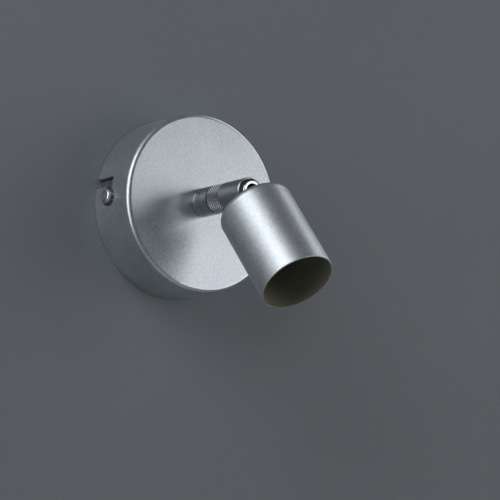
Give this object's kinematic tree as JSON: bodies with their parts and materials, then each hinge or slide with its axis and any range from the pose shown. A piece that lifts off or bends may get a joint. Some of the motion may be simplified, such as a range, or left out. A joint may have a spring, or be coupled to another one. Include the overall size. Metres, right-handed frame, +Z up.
{
  "type": "pivoting spotlight wall light",
  "caption": "Round wall canopy with a short swivelling arm and a thin cylindrical spotlight cup on a ball joint, held on its wall bracket by side screws in bayonet slots.",
  "frame": {"origin": "centre of the round canopy and of the wall screw circle, on the wall plane", "axes": "+Z up, +Y into the wall, -Y out along the arm, +X to the right seen from the room"},
  "size_m": [0.0848, 0.102, 0.0921],
  "materials": {
    "satin_nickel": "satin matt nickel plating on steel",
    "bright_chrome": "polished chrome",
    "black_steel": "burnished black steel",
    "nickel_screw": "bright nickel-plated steel",
    "zinc_steel": "bright zinc plating",
    "spring_steel": "tempered spring steel",
    "brass": "plain brass",
    "sink_aluminium": "machined aluminium",
    "solder": "bright solder",
    "black_rubber": "matt rubber",
    "black_plastic": "matt black",
    "clear_polyamide": "natural polyamide",
    "white_case": "fine-textured white",
    "white_nylon": "natural nylon",
    "white_board": "white solder mask on an aluminium board",
    "yellow_phosphor": "silicone over phosphor",
    "clear_lens": "clear acrylic",
    "mains_insulation": "brown and blue sleeving",
    "earth_insulation": "green and yellow sleeving",
    "lamp_insulation": "red and black sleeving"
  },
  "bodies": {
    "bracket": {"wall_bracket": "zinc_steel", "cable_grommet": "black_rubber", "side_screws": "nickel_screw", "side_screw_washers": "spring_steel", "earth_screw": "brass", "earth_washer": "brass"},
    "canopy": {"canopy_shell": "satin_nickel", "swivel_stop_pin": "zinc_steel", "hollow_bolt": "zinc_steel", "carrier_plate": "zinc_steel", "earth_tag": "brass", "star_washer": "zinc_steel", "bolt_nut": "zinc_steel", "terminal_block": "clear_polyamide", "terminal_tubes": "brass", "terminal_screws": "zinc_steel", "block_screws": "zinc_steel", "led_driver": "white_case", "driver_screws": "zinc_steel", "driver_input_leads": "mains_insulation", "earth_lead": "earth_insulation", "driver_output_leads": "lamp_insulation"},
    "arm": {"swivel_bush": "satin_nickel", "friction_washer": "white_nylon", "arm_sleeve": "satin_nickel", "socket_ring": "bright_chrome", "buffer_ring": "black_rubber", "disc_springs": "spring_steel", "ball_seat": "white_nylon", "lamp_leads": "lamp_insulation"},
    "head": {"ball_stem": "black_steel", "head_cup": "satin_nickel", "head_strap": "zinc_steel", "stem_washer": "zinc_steel", "stem_nut": "zinc_steel", "heat_sink": "sink_aluminium", "module_screws": "zinc_steel", "led_board": "white_board", "led_emitter": "yellow_phosphor", "solder_joints": "solder", "board_screws": "zinc_steel", "lens_spacer": "black_plastic", "lens": "clear_lens", "lens_ring": "black_plastic"}
  },
  "joints": [
    {"name": "canopy_twist", "type": "hinge", "parent": "bracket", "child": "canopy", "pos_m": [0, 0, 0], "axis": [0, -1, 0], "range_deg": [0, 9.7]},
    {"name": "arm_swivel", "type": "hinge", "parent": "canopy", "child": "arm", "pos_m": [0, -0.026, 0], "axis": [0, -1, 0], "range_deg": [-165, 165]},
    {"name": "head_tilt", "type": "hinge", "parent": "arm", "child": "head", "pos_m": [0, -0.0578, 0], "axis": [1, 0, 0], "range_deg": [-54, 36], "deforming": ["lamp_leads"]}
  ]
}
